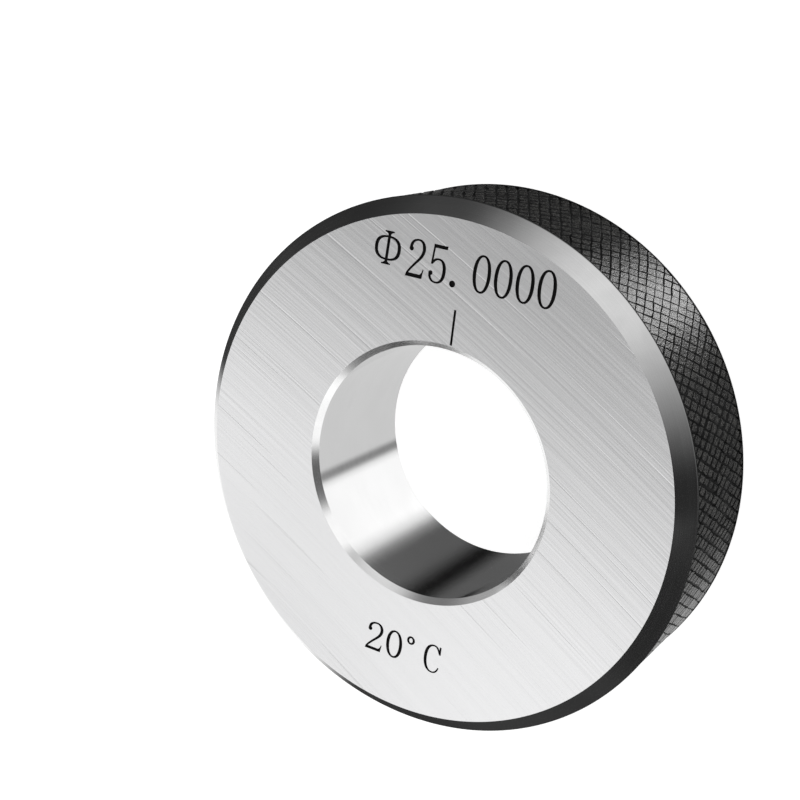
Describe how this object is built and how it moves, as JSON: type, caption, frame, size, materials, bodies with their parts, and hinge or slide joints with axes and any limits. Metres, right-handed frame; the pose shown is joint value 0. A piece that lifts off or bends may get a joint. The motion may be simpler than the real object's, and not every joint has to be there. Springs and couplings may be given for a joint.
{
  "type": "plain ring gauge",
  "caption": "Solid steel ring with a lapped gauge bore, a crossed knurl round the outside and its bore size cut into the marked face.",
  "frame": {"origin": "centre of the rear face, on the bore's axis; the ring lies on that face", "axes": "+Z along the bore from the rear face to the marked face, +Y from the bore towards the size mark, +X along that mark's reading direction"},
  "size_m": [0.053, 0.053, 0.016],
  "materials": {
    "ground_steel": "ground faces, lapped bore, blackened knurl, black-filled marks"
  },
  "bodies": {
    "root": {"gauge_ring": "ground_steel"}
  },
  "joints": []
}
